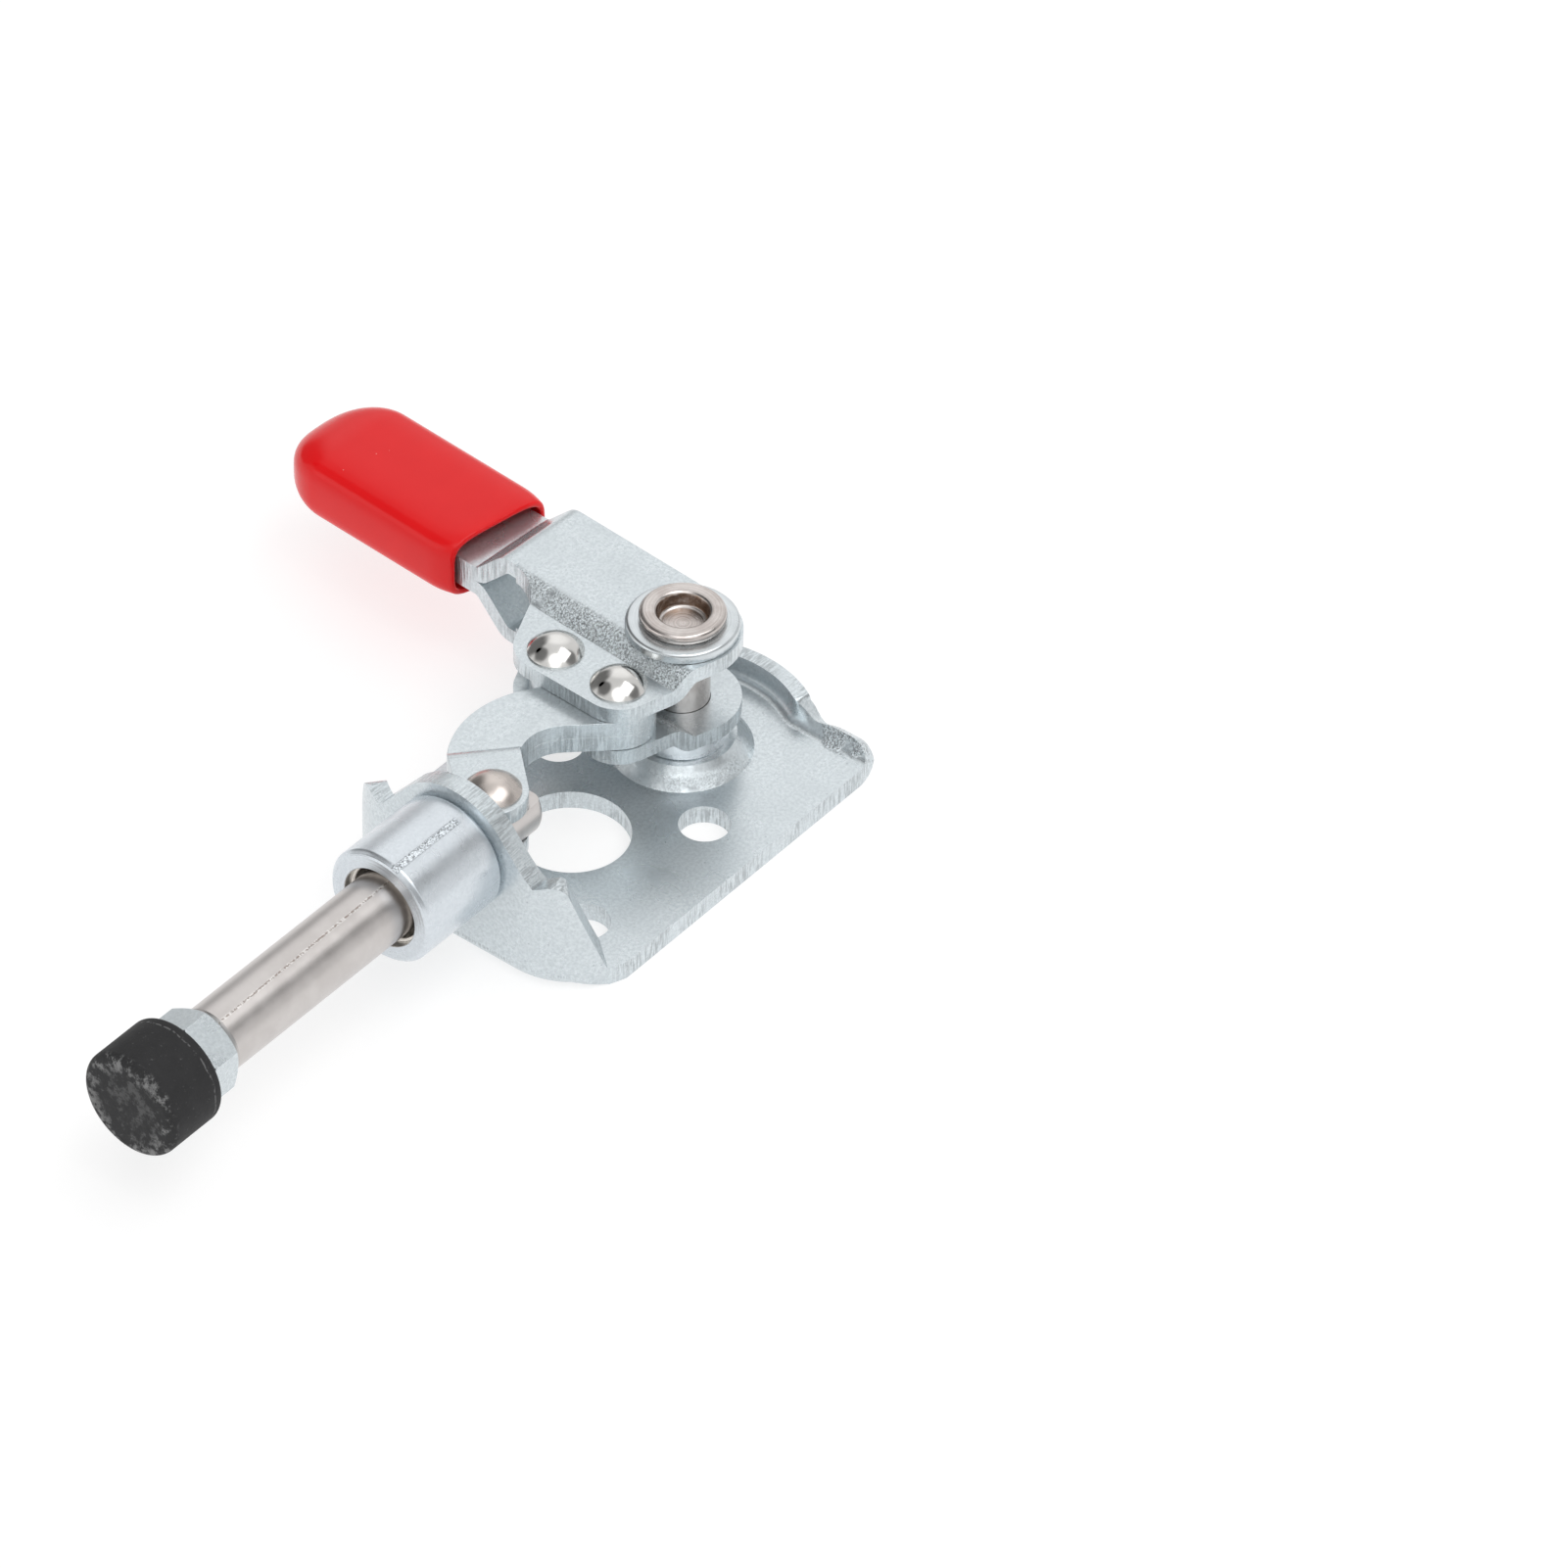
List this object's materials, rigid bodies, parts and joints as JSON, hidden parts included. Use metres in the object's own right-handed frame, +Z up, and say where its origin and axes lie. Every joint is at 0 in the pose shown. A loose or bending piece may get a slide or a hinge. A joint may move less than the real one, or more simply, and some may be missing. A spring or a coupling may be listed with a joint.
{
  "type": "push-pull toggle clamp",
  "caption": "Small straight-line toggle clamp: a stamped base and guide sleeve carry a plunger with a rubber tip, driven by a swinging handle with a vinyl grip.",
  "frame": {"origin": "centre of the four mounting holes, on the underside of the base", "axes": "+Z up from the mounting face, +X along the plunger towards its rubber tip, the handle towards -Y"},
  "size_m": [0.0825, 0.0583, 0.0169],
  "materials": {
    "zinc_plate": "bright zinc plate",
    "satin_nickel": "satin nickel plate",
    "bright_rivet": "polished",
    "red_vinyl": "glossy dipped vinyl",
    "dark_rubber": "matt"
  },
  "bodies": {
    "base": {"base_plate": "zinc_plate", "guide_sleeve": "zinc_plate", "pivot_post": "satin_nickel", "spacer_ring": "bright_rivet", "head_washer": "satin_nickel"},
    "handle": {"handle_upper_plate": "zinc_plate", "handle_lower_plate": "zinc_plate", "handle_grip": "red_vinyl", "link_rivet": "bright_rivet", "stop_rivet": "bright_rivet", "stop_sleeve": "zinc_plate"},
    "link": {"link_upper_ply": "zinc_plate", "link_lower_ply": "zinc_plate", "fork_rivet_upper": "bright_rivet", "fork_rivet_lower": "bright_rivet"},
    "plunger": {"plunger_rod": "satin_nickel", "fork_rivet_core": "satin_nickel", "tip_stud": "zinc_plate", "jam_nut": "zinc_plate", "rubber_tip": "dark_rubber"}
  },
  "joints": [
    {"name": "handle_swing", "type": "hinge", "parent": "base", "child": "handle", "pos_m": [-0.0147, 0, 0.0104], "axis": [0, 0, 1], "range_deg": [-160, 0]},
    {"name": "link_pivot", "type": "hinge", "parent": "handle", "child": "link", "pos_m": [-0.00682, -0.00051, 0.0104], "axis": [0, 0, 1], "range_deg": [0, 160]},
    {"name": "plunger_slide", "type": "slide", "parent": "base", "child": "plunger", "axis": [1, 0, 0], "range_m": [-0.01547, 0]}
  ],
  "couplings": [
    {"joint": "link_pivot", "follows": "handle_swing", "ratio": -1},
    {"joint": "plunger_slide", "follows": "handle_swing", "m_per_rad": 0.005538}
  ]
}
